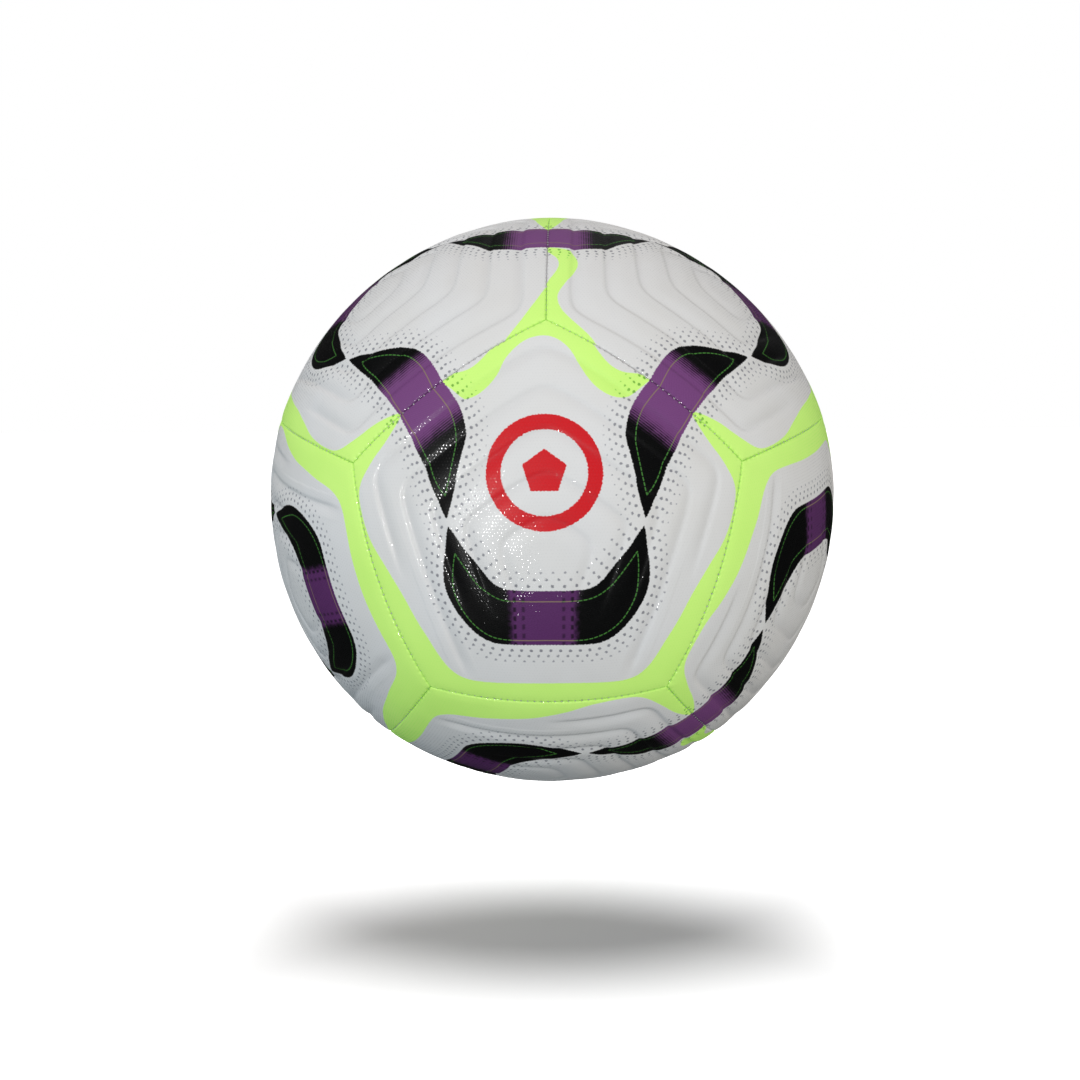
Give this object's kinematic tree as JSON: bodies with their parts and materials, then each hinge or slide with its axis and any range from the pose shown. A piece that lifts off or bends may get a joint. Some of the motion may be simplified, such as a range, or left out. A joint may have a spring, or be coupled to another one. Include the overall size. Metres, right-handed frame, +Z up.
{
  "type": "soccer ball",
  "caption": "Inflatable ball of stitched pentagonal panels with foam pads and lining over a rubber bladder, with a self-sealing needle valve.",
  "frame": {"origin": "centre of the ball", "axes": "-Y towards the centre of the panel with the emblem, +Y out along the valve axis, +Z up, with a panel corner of the emblem panel above its centre"},
  "size_m": [0.22, 0.2199, 0.22],
  "materials": {
    "cover_skin": "white synthetic leather with embossed grooves, printed bands in light green, purple and black",
    "foam": "closed-cell foam",
    "lining": "woven cotton and polyester lining",
    "thread": "waxed polyester thread",
    "bladder": "matt butyl rubber",
    "patch": "rubberised fabric",
    "valve_rubber": "moulded rubber",
    "valve_plug": "moulded silicone rubber"
  },
  "bodies": {
    "ball": {"cover_skin_front": "cover_skin", "cover_skin_upper_right": "cover_skin", "cover_skin_upper_left": "cover_skin", "cover_skin_back_right": "cover_skin", "cover_skin_back_left": "cover_skin", "cover_skin_bottom": "cover_skin", "cover_skin_left": "cover_skin", "cover_skin_right": "cover_skin", "cover_skin_top": "cover_skin", "cover_skin_back": "cover_skin", "cover_skin_back_lower_left": "cover_skin", "cover_skin_back_lower_right": "cover_skin", "foam_pad_front": "foam", "foam_pad_upper_right": "foam", "foam_pad_upper_left": "foam", "foam_pad_back_right": "foam", "foam_pad_back_left": "foam", "foam_pad_bottom": "foam", "foam_pad_left": "foam", "foam_pad_right": "foam", "foam_pad_top": "foam", "foam_pad_back": "foam", "foam_pad_back_lower_left": "foam", "foam_pad_back_lower_right": "foam", "lining_front": "lining", "lining_upper_right": "lining", "lining_upper_left": "lining", "lining_back_right": "lining", "lining_back_left": "lining", "lining_bottom": "lining", "lining_left": "lining", "lining_right": "lining", "lining_top": "lining", "lining_back": "lining", "lining_back_lower_left": "lining", "lining_back_lower_right": "lining", "needle_thread_front_half": "thread", "bobbin_thread_front_half": "thread", "needle_thread_back_half": "thread", "bobbin_thread_back_half": "thread", "needle_thread_closing_seam": "thread", "bobbin_thread_closing_seam": "thread", "bladder": "bladder", "valve_patch": "patch", "valve_housing": "valve_rubber"},
    "valve_insert": {"valve_insert": "valve_plug"}
  },
  "joints": [
    {"name": "valve_insert_pull", "type": "slide", "parent": "ball", "child": "valve_insert", "axis": [0, 1, 0], "range_m": [0, 0.018]}
  ]
}
